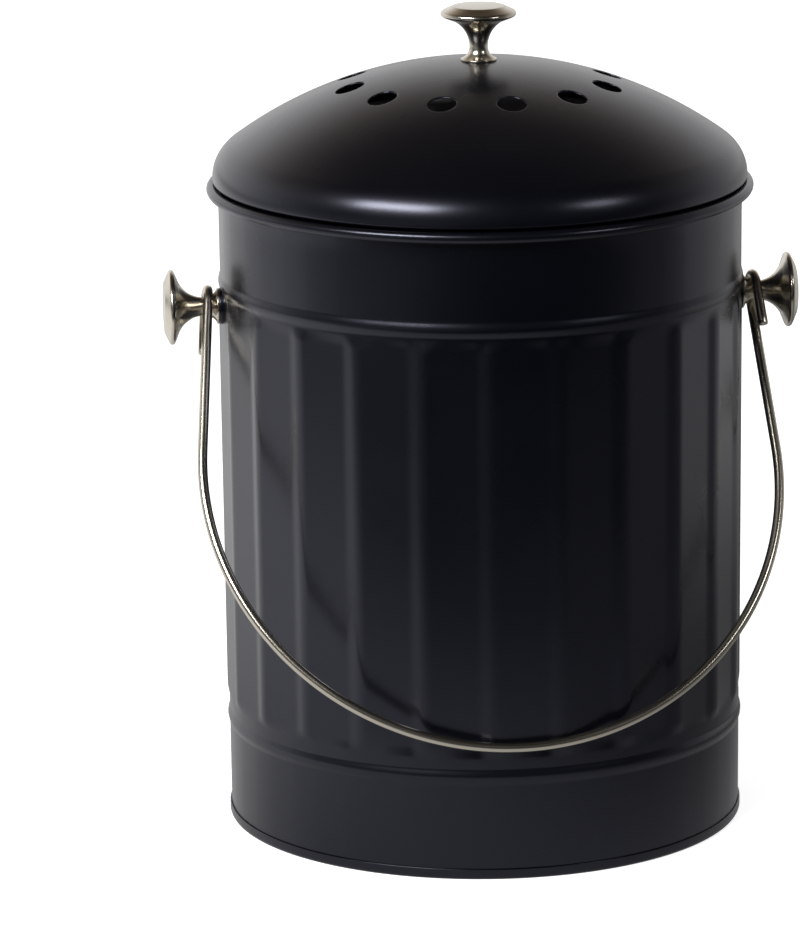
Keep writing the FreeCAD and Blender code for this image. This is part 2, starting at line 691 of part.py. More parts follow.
def bail_path(size):
    """Middle line of the bent wire, hanging in front of the pail with its grip against the wall.

    The wire lies in a plane through the handle's axis, turned a little about its own middle so that one
    leg passes behind its knob and the other in front, each with its hook bent over the neck.
    """
    grip_stand = number(wall_at("grip_height")) + size["flute_crest"] + size["wire"] / 2 + size["bail_gap"]
    fall = size["pivot_height"] - size["grip_height"]
    hang = math.atan2(grip_stand, fall)
    reach = math.hypot(grip_stand, fall)

    across = FreeCAD.Vector(1, 0, 0)
    down = FreeCAD.Vector(0, -math.sin(hang), -math.cos(hang))
    behind = across.cross(down)
    pivot = FreeCAD.Vector(0, 0, size["pivot_height"])

    offset = size["hook_radius"]
    stand = size["seat_plane"] + size["hook_stand"]
    width = math.hypot(stand, offset)
    sideways = across * (stand / width) + behind * (offset / width)
    normal = behind * (stand / width) - across * (offset / width)

    bow = size["bow_radius"]
    centre = reach - bow
    distance = math.hypot(width, centre - size["hook_drop"])
    tangent = math.atan2(size["hook_drop"] - centre, width) + math.acos(bow / distance)
    lean = -tangent

    def side(sign):
        """Leg, hook and cut end on one side, from the bow to the cut."""
        out = sideways * sign
        front = normal * -sign
        start = pivot + out * width + down * size["hook_drop"]
        leaving = pivot + out * (bow * math.cos(tangent)) + down * (centre + bow * math.sin(tangent))
        rise = down * -math.cos(lean) - out * math.sin(lean)
        finish = start + front * (2 * offset)
        crown = start + (front + rise) * offset
        cut = finish - rise * size["hook_tail"]
        leg = Part.LineSegment(leaving, start).toShape()
        hook = Part.Arc(start, crown, finish).toShape()
        tail = Part.LineSegment(finish, cut).toShape()
        return leaving, [leg, hook, tail]

    right, right_edges = side(1)
    left, left_edges = side(-1)
    grip = Part.Arc(left, pivot + down * reach, right).toShape()
    return Part.Wire(Part.__sortEdges__(left_edges + [grip] + right_edges))


def build_bail_handle():
    """Round wire swept along the bail's middle line."""
    size = {alias: number(alias) for alias in NAMES}
    path = bail_path(size)
    tail = path.OrderedEdges[0]
    start = path.OrderedVertexes[0].Point
    ring = Part.Wire(Part.makeCircle(size["wire"] / 2, start, tail.tangentAt(tail.FirstParameter)))
    bail = doc.addObject("Part::Feature", "bail_handle")
    bail.Label = "bail_handle"
    bail.Shape = path.makePipeShell([ring], True, False)
    bail.Placement = FreeCAD.Placement()
    return bail


def build_lid_fixings():
    """Screw and washer that hold the lid's knob from below."""
    washer_face = "lid_seat - sheet - washer_thickness"
    head_face = washer_face + " - screw_head_height"
    reach = "screw_head_height + washer_thickness + sheet + screw_grip"
    return [
        build_screw("lid_knob_screw", reach, z=head_face),
        build_washer("lid_knob_washer", z=washer_face),
    ]


def check(objects):
    """Stop if any object failed or any sub-part is empty or not valid."""
    for item in doc.Objects:
        if "Invalid" in item.State or "Error" in item.State:
            raise RuntimeError("%s failed: %s" % (item.Label, item.State))
    for item in objects:
        if item.Shape.isNull() or not item.Shape.isValid():
            raise RuntimeError("%s has no valid shape" % item.Label)


def export(objects):
    """One file for each sub-part, named by its label."""
    os.makedirs("parts", exist_ok=True)
    for item in objects:
        item.Shape.exportStep("parts/%s.step" % item.Label)


def main():
    """Build, check and export every sub-part."""
    subparts = [
        build_pail_wall(),
        build_pail_base(),
        build_knob("handle_knob_left", "0 - seat_plane", "pivot_height", AGAINST_X),
        build_knob("handle_knob_right", "seat_plane", "pivot_height", ALONG_X),
        *build_handle_fixings(),
        build_bail_handle(),
        build_lid_dome(),
        build_lid_skirt(),
        build_knob("lid_knob", z="lid_seat"),
        *build_lid_fixings(),
        build_filter_collar(),
        build_filter_cup(),
        build_charcoal_filter(),
    ]
    doc.recompute()
    check(subparts)
    export(subparts)
    for item in subparts:
        box = item.Shape.BoundBox
        print("%-18s %10.1f mm3  x %.2f %.2f  y %.2f %.2f  z %.2f %.2f" % (
            item.Label, item.Shape.Volume, box.XMin, box.XMax, box.YMin, box.YMax, box.ZMin, box.ZMax))


main()
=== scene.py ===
"""Kitchen compost bin: fluted black pail, nickel bail and knobs, vented lid over a charcoal filter."""

import logging
import math
from dataclasses import dataclass
from enum import Enum
from typing import Any, Callable, NamedTuple, Sequence

import bmesh
import bpy
import numpy as np
from mathutils import Matrix, Vector


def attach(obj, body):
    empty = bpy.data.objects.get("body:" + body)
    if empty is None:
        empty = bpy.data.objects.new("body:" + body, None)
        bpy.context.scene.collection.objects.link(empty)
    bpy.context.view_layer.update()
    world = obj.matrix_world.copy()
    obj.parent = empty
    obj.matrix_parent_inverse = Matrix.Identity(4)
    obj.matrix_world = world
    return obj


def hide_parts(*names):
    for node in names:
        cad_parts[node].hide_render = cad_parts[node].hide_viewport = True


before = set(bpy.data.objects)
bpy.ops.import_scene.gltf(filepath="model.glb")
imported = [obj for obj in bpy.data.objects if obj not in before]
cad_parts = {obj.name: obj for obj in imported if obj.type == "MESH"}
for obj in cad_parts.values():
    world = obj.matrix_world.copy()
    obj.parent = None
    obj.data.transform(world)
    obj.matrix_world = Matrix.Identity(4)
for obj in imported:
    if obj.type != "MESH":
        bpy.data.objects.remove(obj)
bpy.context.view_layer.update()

LOG = logging.getLogger("compost_bin")
Points = list[tuple[float, float]]
Place = tuple[float, float, float]
MM = 0.001
SHEET = 0.6
SCREW_HOLE = 2.3
WHITE = (1.0, 1.0, 1.0, 1.0)


class Body(Enum):
    """Bodies of the frame that the pieces move with."""

    PAIL = "pail"
    LID = "lid"
    FILTER = "filter"
    BAIL = "bail"


class Slot(Enum):
    """Material slots of the record, named with each new piece but not set on it."""

    COAT = "black_coat"
    NICKEL = "nickel"
    FELT = "carbon_felt"


class Lines(Enum):
    """Way that polishing lines run: the coordinates of their pattern and its scale along each axis."""

    TURNED = ("Object", (0.03, 0.03, 1.0))
    DRAWN = ("UV", (0.02, 1.0, 1.0))


class Ramp(NamedTuple):
    """Change of a value between two places, in the order of a map range's inputs."""

    start: float
    end: float
    before: float
    after: float

    @classmethod
    def over_noise(cls, middle: float, spread: float) -> "Ramp":
        """Lay a spread about a middle value over the range that a noise mostly stays in."""
        return cls(0.3, 0.7, middle - spread / 2, middle + spread / 2)


# Colours and nodes


def linear(code: str) -> tuple[float, float, float, float]:
    """Turn an sRGB hex colour to linear light.

    Args:
        code: Six hex digits after a hash sign.

    Returns:
        Red, green, blue and alpha, linear.
    """
    parts = [int(code[i:i + 2], 16) / 255 for i in (1, 3, 5)]
    light = [p / 12.92 if p <= 0.04045 else ((p + 0.055) / 1.055) ** 2.4 for p in parts]
    return (light[0], light[1], light[2], 1.0)


def feed(tree: bpy.types.NodeTree, node: bpy.types.Node, links: dict[Any, Any]) -> None:
    """Connect or set a node's inputs.

    Args:
        tree: Node tree that holds the node.
        node: Node that takes the inputs.
        links: Input name or number to a socket, to a node whose first output is meant, or to a plain value.
    """
    for name, value in links.items():
        source = value.outputs[0] if isinstance(value, bpy.types.Node) else value
        if isinstance(source, bpy.types.NodeSocket):
            tree.links.new(source, node.inputs[name])
        else:
            node.inputs[name].default_value = source


def add_node(tree: bpy.types.NodeTree, kind: str, links: dict[Any, Any] | Sequence[Any] = (),
             **settings: Any) -> bpy.types.Node:
    """Add a node with its settings and inputs.

    Args:
        tree: Node tree that takes the node.
        kind: Blender's name for the type of shader node, without its prefix.
        links: What feeds the inputs, by their names or numbers, or listed in their order.
        settings: Attributes of the node.

    Returns:
        The new node.
    """
    node = tree.nodes.new("ShaderNode" + kind)
    for name, value in settings.items():
        setattr(node, name, value)
    feed(tree, node, links if isinstance(links, dict) else dict(enumerate(links)))
    return node


def start_finish(name: str) -> tuple[bpy.types.Material, bpy.types.NodeTree, bpy.types.Node]:
    """Start a finish.

    Args:
        name: Name of the material.

    Returns:
        The material, its node tree and the tree's surface shader.
    """
    material = bpy.data.materials.new(name)
    material.use_nodes = True
    return material, material.node_tree, material.node_tree.nodes["Principled BSDF"]


def per_mm(size: float) -> float:
    """Texture scale, in metre coordinates, of a pattern whose grains are size millimetres apart."""
    return 1 / (size * MM)


# Meshes


def rounded(points: Points, radius: float, steps: int = 5) -> Points:
    """Round the corners of an open line of points.

    Args:
        points: Radius and height of each corner, in mm.
        radius: Rounding, cut to what the shorter neighbour leaves.
        steps: Segments of each rounding.

    Returns:
        The line with each inner corner replaced by a curve.
    """
    nearly_straight = 0.05
    share = 0.48
    line = [points[0]]
    for before, corner, after in zip(points, points[1:], points[2:]):
        a = np.subtract(before, corner)
        b = np.subtract(after, corner)
        length_a, length_b = np.hypot(*a), np.hypot(*b)
        turn = math.acos(float(np.clip(a @ b / (length_a * length_b), -1, 1)))
        if abs(turn - math.pi) < nearly_straight:
            line.append(corner)
            continue
        reach = min(radius / math.tan(turn / 2), share * length_a, share * length_b)
        start = np.add(corner, a / length_a * reach)
        end = np.add(corner, b / length_b * reach)
        for step in range(steps + 1):
            t = step / steps
            curve = (1 - t) ** 2 * start + 2 * t * (1 - t) * np.array(corner) + t ** 2 * end
            line.append((float(curve[0]), float(curve[1])))
    line.append(points[-1])
    return line


def arc(centre: tuple[float, float], radius: float, first: float, last: float, steps: int) -> Points:
    """Points on an arc, angles in degrees from the outward radius, both ends included.

    Args:
        centre: Radius and height of the arc's centre, in mm.
        radius: Its radius, in mm.
        first: Angle of the first point.
        last: Angle of the last point.
        steps: Segments of the arc.

    Returns:
        The points.
    """
    angles = np.radians(np.linspace(first, last, steps + 1))
    return [(centre[0] + radius * math.cos(a), centre[1] + radius * math.sin(a)) for a in angles]


def mesh_object(name: str, vertices: np.ndarray, faces: Sequence[Sequence[int]],
                sharp: float = 35.0) -> bpy.types.Object:
    """Make a smooth-shaded object from points in mm.

    Args:
        name: Name of the object and its mesh.
        vertices: One row of three numbers a point.
        faces: Corner numbers of each face.
        sharp: Angle in degrees beyond which an edge stays crisp.

    Returns:
        The object, linked to the scene.
    """
    mesh = bpy.data.meshes.new(name)
    mesh.from_pydata((np.asarray(vertices) * MM).tolist(), [], [list(face) for face in faces])
    mesh.validate()
    mesh.shade_smooth()
    mesh.set_sharp_from_angle(angle=math.radians(sharp))
    piece = bpy.data.objects.new(name, mesh)
    bpy.context.collection.objects.link(piece)
    return piece


def lathe(name: str, profile: Points, segments: int = 192,
          swell: Callable[[np.ndarray, int], np.ndarray] | None = None, angles: np.ndarray | None = None,
          ring: bool = False, sharp: float = 35.0) -> bpy.types.Object:
    """Turn a profile about the Z axis.

    Args:
        name: Name of the object.
        profile: Radius and height of each point; a radius of 0 closes the form on the axis.
        segments: Columns round the axis, where angles doesn't give them.
        swell: Addition to the radius at each angle for a point's number in the profile.
        angles: Angles of the columns, in radians.
        ring: Whether the last point joins the first.
        sharp: Angle in degrees beyond which an edge stays crisp.

    Returns:
        The turned object.
    """
    on_axis = 1e-6
    turn = np.linspace(0, 2 * math.pi, segments, endpoint=False) if angles is None else angles
    columns = len(turn)
    rows: list[list[int]] = []
    vertices: list[list[float]] = []
    for number, (radius, height) in enumerate(profile):
        if radius < on_axis:
            rows.append([len(vertices)] * columns)
            vertices.append([0.0, 0.0, height])
            continue
        reach = radius + (swell(turn, number) if swell else np.zeros(columns))
        rows.append(list(range(len(vertices), len(vertices) + columns)))
        vertices += np.c_[reach * np.cos(turn), reach * np.sin(turn), np.full(columns, height)].tolist()
    pairs = list(zip(rows, rows[1:])) + ([(rows[-1], rows[0])] if ring else [])
    faces = []
    for low, high in pairs:
        for column in range(columns):
            following = (column + 1) % columns
            corners = [low[column], low[following], high[following], high[column]]
            face = list(dict.fromkeys(corners))
            if len(face) > 2:
                faces.append(face)
    return mesh_object(name, np.array(vertices), faces, sharp)


def sweep(name: str, path: np.ndarray, radius: float, sides: int = 24) -> bpy.types.Object:
    """Round wire along a path, with softly broken cut ends.

    Args:
        name: Name of the object.
        path: Points of the middle line, in mm.
        radius: Radius of the wire.
        sides: Facets round the wire.

    Returns:
        The wire, with the length and the way round it in its UV map, in metres.
    """
    break_edge = 0.45
    break_middle = (0.13, 0.12)
    off_the_wire = (0.3, 0.8, 0.5)
    tangents = np.gradient(path, axis=0)
    tangents /= np.linalg.norm(tangents, axis=1)[:, None]
    normal = np.cross(tangents[0], off_the_wire)
    normal /= np.linalg.norm(normal)
    frames = []
    for tangent in tangents:
        normal = normal - tangent * (normal @ tangent)
        normal /= np.linalg.norm(normal)
        frames.append((normal.copy(), np.cross(tangent, normal)))
    length = np.r_[0, np.cumsum(np.linalg.norm(np.diff(path, axis=0), axis=1))]
    ends = [(0, 0.0, 0.0), (0, radius - break_edge, 0.0), (0, radius - break_middle[0], break_middle[1]),
            (0, radius, break_edge)]
    stations = ends + [(i, radius, 0.0) for i in range(1, len(path) - 1)]
    stations += [(-1, r, -shift) for _, r, shift in reversed(ends)]
    round_angles = np.linspace(0, 2 * math.pi, sides, endpoint=False)
    vertices: list[np.ndarray] = []
    lengths = []
    for index, reach, shift in stations:
        first, second = frames[index]
        centre = path[index] + tangents[index] * shift
        ring = np.outer(np.cos(round_angles), first) + np.outer(np.sin(round_angles), second)
        vertices.append(centre + reach * ring)
        lengths.append(length[index] + shift)
    faces = []
    for row in range(len(stations) - 1):
        for column in range(sides):
            following = (column + 1) % sides
            faces.append([row * sides + column, row * sides + following,
                          (row + 1) * sides + following, (row + 1) * sides + column])
    wire = mesh_object(name, np.vstack(vertices), faces, sharp=60)
    layer = wire.data.uv_layers.new(name="run")
    for polygon in wire.data.polygons:
        for corner in polygon.loop_indices:
            row, column = divmod(wire.data.loops[corner].vertex_index, sides)
            layer.data[corner].uv = (lengths[row] * MM, column / sides * 2 * math.pi * radius * MM)
    return wire


def join(piece: bpy.types.Object, *others: bpy.types.Object) -> bpy.types.Object:
    """Add other objects' meshes to a piece.

    Args:
        piece: Object that keeps its name.
        others: Objects that become part of it.

    Returns:
        The piece.
    """
    group = [piece, *others]
    with bpy.context.temp_override(active_object=piece, object=piece, selected_editable_objects=group,
                                   selected_objects=group):
        bpy.ops.object.join()
    return piece


def dress(piece: bpy.types.Object, material: bpy.types.Material) -> None:
    """Give a piece one material in place of those it has.

    Args:
        piece: Object that takes it.
        material: Its material.
    """
    piece.data.materials.clear()
    piece.data.materials.append(material)


def settle(piece: bpy.types.Object, body: Body, slot: Slot, material: bpy.types.Material,
           *nodes: str) -> bpy.types.Object:
    """Give a piece its finish, its body and the nodes that it stands for.

    Args:
        piece: New object.
        body: Body that it moves with.
        slot: Slot of the record for its finish; not used.
        material: Its material.
        nodes: CAD nodes that it replaces.

    Returns:
        The same object.
    """
    dress(piece, material)
    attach(piece, body.value)
    if nodes:
        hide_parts(*nodes)
    LOG.info("%s rides on %s", piece.name, body.value)
    return piece


# Finishes


@dataclass(frozen=True)
class PowderCoat:
    """Satin black powder coat on steel: sprayed dry and baked, so it flows to a faint orange peel.

    The eye sees a deep, slightly blue black with soft, wide highlights and no sparkle.
    """

    colour: str = "#030408"
    thin_colour: str = "#06070c"
    sheen_colour: str = "#e6e9ff"
    roughness: float = 0.27
    roughness_spread: float = 0.03
    cloud_mm: float = 38.0
    peel_mm: float = 1.4
    peel_depth_mm: float = 0.2
    peel_strength: float = 0.05

    def build(self) -> bpy.types.Material:
        """Make the material.

        Returns:
            The material.
        """
        material, tree, shader = start_finish("satin_black_powder_coat")
        place = add_node(tree, "TexCoord").outputs["Object"]
        cloud = add_node(tree, "TexNoise", {"Vector": place, "Scale": per_mm(self.cloud_mm), "Detail": 3.0})
        colour = add_node(tree, "Mix", {0: cloud, 6: linear(self.colour), 7: linear(self.thin_colour)},
                          data_type="RGBA")
        rough = add_node(tree, "MapRange", (cloud, *Ramp.over_noise(self.roughness, self.roughness_spread)))
        peel = add_node(tree, "TexNoise", {"Vector": place, "Scale": per_mm(self.peel_mm), "Detail": 2.0})
        bump = add_node(tree, "Bump", {"Height": peel, "Strength": self.peel_strength,
                                       "Distance": self.peel_depth_mm * MM})
        feed(tree, shader, {"Base Color": colour.outputs[2], "Specular Tint": linear(self.sheen_colour),
                            "Roughness": rough, "Normal": bump})
        return material


@dataclass(frozen=True)
class NickelPlate:
    """Polished nickel plate: warm grey mirror with fine lines left by turning or drawing.

    The eye sees dark and bright bands of the room, soft at their edges, with a yellowish cast. Real lines are
    finer; these are as coarse as the render needs to show them.
    """

    name: str
    lines: Lines
    colour: str = "#c6bfb2"
    roughness: float = 0.23
    roughness_spread: float = 0.08
    line_mm: float = 0.6
    line_depth_mm: float = 0.05
    line_strength: float = 0.03

    def build(self) -> bpy.types.Material:
        """Make the material, its lines running round a turning or along a wire.

        Returns:
            The material.
        """
        material, tree, shader = start_finish(self.name)
        coordinates, stretch = self.lines.value
        source = add_node(tree, "TexCoord").outputs[coordinates]
        place = add_node(tree, "Mapping", {"Vector": source, "Scale": stretch})
        lines = add_node(tree, "TexNoise", {"Vector": place, "Scale": per_mm(self.line_mm), "Detail": 2.0})
        rough = add_node(tree, "MapRange", (lines, *Ramp.over_noise(self.roughness, self.roughness_spread)))
        bump = add_node(tree, "Bump", {"Height": lines, "Strength": self.line_strength,
                                       "Distance": self.line_depth_mm * MM})
        feed(tree, shader, {"Base Color": linear(self.colour), "Metallic": 1.0, "Roughness": rough,
                            "Normal": bump})
        return material


@dataclass(frozen=True)
class ZincPlate:
    """Bright zinc on steel screws: dipped and passivated, a cool grey with a faint blue and yellow bloom."""

    colour: str = "#b4b8bd"
    bloom: str = "#b9b39a"
    roughness: float = 0.34
    bloom_mm: float = 2.5

    def build(self) -> bpy.types.Material:
        """Make the material.

        Returns:
            The material.
        """
        material, tree, shader = start_finish("bright_zinc_plate")
        place = add_node(tree, "TexCoord").outputs["Object"]
        bloom = add_node(tree, "TexNoise", {"Vector": place, "Scale": per_mm(self.bloom_mm), "Detail": 3.0})
        colour = add_node(tree, "Mix", {0: bloom, 6: linear(self.colour), 7: linear(self.bloom)},
                          data_type="RGBA")
        feed(tree, shader, {"Base Color": colour.outputs[2], "Metallic": 1.0, "Roughness": self.roughness})
        return material


@dataclass(frozen=True)
class MouldedPlastic:
    """Black polypropylene, moulded in a spark-eroded tool: a dull fine grain with worn, glossier patches.

    The real grain is finer; this one is as coarse as the render needs to show it.
    """

    colour: str = "#151517"
    refraction: float = 1.49
    roughness: float = 0.5
    roughness_spread: float = 0.14
    patch_mm: float = 22.0
    grain_mm: float = 0.6
    grain_depth_mm: float = 0.1
    grain_strength: float = 0.25

    def build(self) -> bpy.types.Material:
        """Make the material.

        Returns:
            The material.
        """
        material, tree, shader = start_finish("black_moulded_polypropylene")
        place = add_node(tree, "TexCoord").outputs["Object"]
        grain = add_node(tree, "TexNoise", {"Vector": place, "Scale": per_mm(self.grain_mm), "Detail": 2.0})
        bump = add_node(tree, "Bump", {"Height": grain, "Strength": self.grain_strength,
                                       "Distance": self.grain_depth_mm * MM})
        patch = add_node(tree, "TexNoise", {"Vector": place, "Scale": per_mm(self.patch_mm)})
        rough = add_node(tree, "MapRange", (patch, *Ramp.over_noise(self.roughness, self.roughness_spread)))
        feed(tree, shader, {"Base Color": linear(self.colour), "IOR": self.refraction, "Roughness": rough,
                            "Normal": bump})
        return material


@dataclass(frozen=True)
class CarbonFelt:
    """Polyester felt soaked with charcoal powder: needled, so it is matted, dusty and quite matt.

    Real fibres are finer; these are as coarse as the render needs to show them.
    """

    dark: str = "#1b1b1c"
    dusty: str = "#343436"
    roughness: float = 0.95
    sheen: float = 0.25
    tuft_mm: float = 2.2
    fibre_mm: float = 0.5
    fibre_twist: float = 1.5
    relief_mm: float = 0.6
    relief_strength: float = 0.8

    def build(self) -> bpy.types.Material:
        """Make the material.

        Returns:
            The material.
        """
        material, tree, shader = start_finish("needled_carbon_felt")
        place = add_node(tree, "TexCoord").outputs["Object"]
        tuft = add_node(tree, "TexVoronoi", {"Vector": place, "Scale": per_mm(self.tuft_mm)})
        fibre = add_node(tree, "TexNoise", {"Vector": place, "Scale": per_mm(self.fibre_mm), "Detail": 4.0,
                                            "Distortion": self.fibre_twist})
        colour = add_node(tree, "Mix", {0: fibre, 6: linear(self.dark), 7: linear(self.dusty)},
                          data_type="RGBA")
        height = add_node(tree, "Math", (tuft, fibre), operation="ADD")
        bump = add_node(tree, "Bump", {"Height": height, "Strength": self.relief_strength,
                                       "Distance": self.relief_mm * MM})
        feed(tree, shader, {"Base Color": colour.outputs[2], "Roughness": self.roughness,
                            "Sheen Weight": self.sheen, "Normal": bump})
        return material


@dataclass(frozen=True)
class PaperSweep:
    """White paper under the bin: matt, white to the camera, with the bin's soft shadow.

    The coat and the plating show it as a lit board that dims to the right, with a faint wing on either side.
    Places in metres on the floor.
    """

    colour: str = "#e8e8e8"
    glow: float = 0.72
    board_slant: float = 0.2
    board: Ramp = Ramp(-0.52, -0.2, 0.0, 1.0)
    level: Ramp = Ramp(-0.35, 0.2, 1.1, 0.19)
    far_left: Ramp = Ramp(-2.2, -0.9, 0.4, 1.0)
    left_wing: Ramp = Ramp(-0.25, -0.95, 0.0, 0.32)
    right_wing: Ramp = Ramp(0.22, 0.5, 0.0, 0.55)
    behind: Ramp = Ramp(-0.2, 0.1, 0.0, 1.0)

    def build(self) -> bpy.types.Material:
        """Make the material.

        Returns:
            The material.
        """
        material = bpy.data.materials.new("white_paper_sweep")
        material.use_nodes = True
        tree = material.node_tree
        tree.nodes.clear()
        path = add_node(tree, "LightPath")
        place = add_node(tree, "SeparateXYZ", [add_node(tree, "NewGeometry").outputs["Position"]])
        across, along = place.outputs[0], place.outputs[1]
        slant = add_node(tree, "Math", (across, self.board_slant, along), operation="MULTIPLY_ADD")
        board = add_node(tree, "MapRange", (slant, *self.board), interpolation_type="SMOOTHSTEP")
        level = add_node(tree, "MapRange", (across, *self.level))
        far_left = add_node(tree, "MapRange", (across, *self.far_left))
        lit = add_node(tree, "Math", (level, far_left), operation="MULTIPLY")
        paved = add_node(tree, "Math", (board, lit), operation="MULTIPLY")
        left = add_node(tree, "MapRange", (across, *self.left_wing), interpolation_type="SMOOTHSTEP")
        right = add_node(tree, "MapRange", (across, *self.right_wing))
        behind = add_node(tree, "MapRange", (along, *self.behind))
        corner = add_node(tree, "Math", (right, behind), operation="MULTIPLY")
        wings = add_node(tree, "Math", (left, corner), operation="ADD")
        shine = add_node(tree, "Math", (wings, paved), operation="MAXIMUM")
        paper = add_node(tree, "BsdfDiffuse", {"Color": linear(self.colour)})
        glow = add_node(tree, "Emission", {"Color": WHITE, "Strength": self.glow})
        seen = add_node(tree, "AddShader", (paper, glow))
        mirror = add_node(tree, "Emission", {"Color": WHITE, "Strength": shine})
        bounce = add_node(tree, "MixShader", (path.outputs["Is Glossy Ray"], paper, mirror))
        whole = add_node(tree, "MixShader", (path.outputs["Is Camera Ray"], bounce, seen))
        add_node(tree, "OutputMaterial", [whole])
        return material


# Sub-assemblies


@dataclass
class Pail:
    """Wall rolled from one sheet, with flutes, two beads and a curled rim, folded in a base channel.

    Sizes in mm, angles in degrees.
    """

    sheet: float = SHEET
    height: float = 225.0
    radius_top: float = 90.4
    draft: float = 1.05
    rim_radius: float = 94.4
    rim_roll: float = 2.0
    flare_low: float = 214.0
    flare_height: float = 9.0
    flare_rise: float = 0.64
    bead_rise: float = 0.66
    bead_half: float = 2.8
    bead_power: float = 1.25
    upper_bead: float = 191.0
    lower_bead: float = 36.0
    flute_count: int = 24
    flute_turn: float = 26.7
    flute_crest: float = 0.85
    flute_foot: float = 0.4
    flank: float = 3.3
    flute_low: float = 42.5
    flute_high: float = 187.5
    flute_fade: float = 4.5
    fade_power: float = 1.3
    crest_round: float = 2.8
    foot_round: float = 1.4
    panel_radius: float = 72.6
    panel_foot: float = 74.0
    panel_lift: float = 4.4
    foot_lift: float = 3.0
    seam_gap: float = 0.03
    seam_height: float = 3.8
    seam_round: float = 1.4
    leg_round: float = 0.35
    seat_radius: float = 6.3
    seat_rise: float = 0.75
    seat_sink: float = 1.15
    seat_clear: float = 0.02
    screw_hole: float = SCREW_HOLE
    pivot_height: float = 182.8

    @property
    def pitch(self) -> float:
        """Angle from one flute to the next, in degrees."""
        return 360 / self.flute_count

    @property
    def knob_seat(self) -> float:
        """Distance from the axis to the seats of the handle knobs, in mm."""
        return self.plain(self.pivot_height) + self.seat_rise

    def plain(self, z: float) -> float:
        """Outside radius, at a height above the table, of the wall without beads and flutes."""
        return self.radius_top - self.draft * (1 - z / self.height)

    def bead(self, z: float) -> float:
        """Rise of a bead at a height, with a soft foot where it leaves the wall.

        Args:
            z: Height above the table, in mm.

        Returns:
            Rise over the plain wall, in mm.
        """
        rise = 0.0
        for middle in (self.upper_bead, self.lower_bead):
            t = abs(z - middle) / self.bead_half
            if t < 1:
                rise += self.bead_rise * math.cos(t * math.pi / 2) ** self.bead_power
        return rise

    def flute_angles(self) -> np.ndarray:
        """Angles of the mesh's columns, close together at each crest and foot.

        Returns:
            The angles all the way round, in radians.
        """
        foot = np.linspace(-self.flank - 1.0, -self.flank + 1.0, 6)
        crest = np.linspace(-1.9, 1.9, 10)
        panel = np.linspace(2.6, self.pitch - self.flank - 1.5, 3)
        crests = self.flute_turn + self.pitch * np.arange(self.flute_count)
        return np.radians((crests[:, None] + np.r_[foot, crest, panel][None, :]).ravel())

    def flute_rise(self, turn: np.ndarray) -> np.ndarray:
        """Height of the fluted section above the plain wall: flank, rounded crest, flat panel, foot.

        Args:
            turn: Angles about the axis, in radians.

        Returns:
            Rise at each angle, in mm.
        """
        parts = 720
        pitch = self.pitch
        step = pitch / parts
        fine = np.linspace(-self.flank, pitch - self.flank, parts + 1)
        base = self.plain((self.flute_low + self.flute_high) / 2)
        crest = complex(base + self.flute_crest)
        foot = base - self.flute_foot
        feet = [foot * np.exp(1j * math.radians(a)) for a in (-self.flank, pitch - self.flank)]
        side = np.where(fine < 0, *feet) - crest
        ray = np.exp(1j * np.radians(fine))
        rise = (np.conj(crest) * side).imag / (np.conj(ray) * side).imag - base
        loop = np.tile(rise[:-1], 3)
        degrees = np.r_[fine[:-1] - pitch, fine[:-1], fine[:-1] + pitch]
        smooth = loop.copy()
        for width, middle in ((self.crest_round, 0.0), (self.foot_round, -self.flank)):
            low, high = middle - width, middle + width
            count = int(width / step) | 1
            mean = np.convolve(loop, np.ones(count) / count, mode="same")
            for shift in (-pitch, 0, pitch):
                inside = (degrees > low + shift) & (degrees < high + shift)
                smooth[inside] = mean[inside]
        where = (np.degrees(turn) - self.flute_turn + self.flank) % pitch
        return np.interp(where, np.arange(parts + 1) * step, smooth[parts:2 * parts + 1])

    def fade(self, z: float) -> float:
        """Share of the full flute at a height: nothing at its ends, rising in a rounded ramp.

        Args:
            z: Height above the table, in mm.

        Returns:
            The share, from 0 to 1.
        """
        t = min(z - self.flute_low, self.flute_high - z) / self.flute_fade
        t = min(max(t, 0.0), 1.0)
        return math.sin(t * math.pi / 2) ** self.fade_power if t else 0.0

    def heights(self) -> list[float]:
        """Heights of the mesh's rows, close together at beads and flute ends.

        Returns:
            The heights from the seam to the rim, in mm.
        """
        bead, low, high = self.lower_bead, self.flute_low, self.flute_high
        zones = [(0.7, bead - 4.0, 8), (bead - 3.7, bead + 4.0, 26), (bead + 4.3, low, 3),
                 (low + 0.3, low + self.flute_fade, 10), (low + 9.5, high - 11.5, 16),
                 (high - self.flute_fade, high - 0.3, 10), (high, self.upper_bead + 4.5, 26),
                 (self.upper_bead + 6.0, self.flare_low, 5)]
        return [float(z) for start, end, count in zones for z in np.linspace(start, end, count)]

    def wall(self) -> bpy.types.Object:
        """Mesh of the wall: outside, curled rim, inside.

        Returns:
            The wall.
        """
        rows = self.heights()
        centre = (self.rim_radius - self.rim_roll, self.height - self.rim_roll)
        hollow = self.rim_roll - self.sheet
        outside = [(self.plain(z) + self.bead(z), z) for z in rows]
        climb = [self.flare_low + rise for rise in (2.0, 4.0, 6.0, 7.6)]
        flare = [(self.plain(z) + self.flare_rise * ((z - self.flare_low) / self.flare_height) ** 2, z)
                 for z in climb]
        curl = arc(centre, hollow, 180, -90, 14) + arc(centre, self.rim_roll, -90, 180, 24)
        mouth = [(r - self.sheet, z) for r, z in reversed(flare)]
        inside = [(r - self.sheet, z) for r, z in reversed(outside[::2])]
        profile = outside + flare + curl + mouth + inside
        weights = [self.fade(z) for z in rows] + [0.0] * (len(flare) + len(curl) + len(mouth))
        weights += list(reversed(weights[:len(rows):2]))
        angles = self.flute_angles()
        rise = self.flute_rise(angles)
        return lathe("pail_wall_sheet", profile, angles=angles, ring=True, sharp=50,
                     swell=lambda turn, number: rise * weights[number])

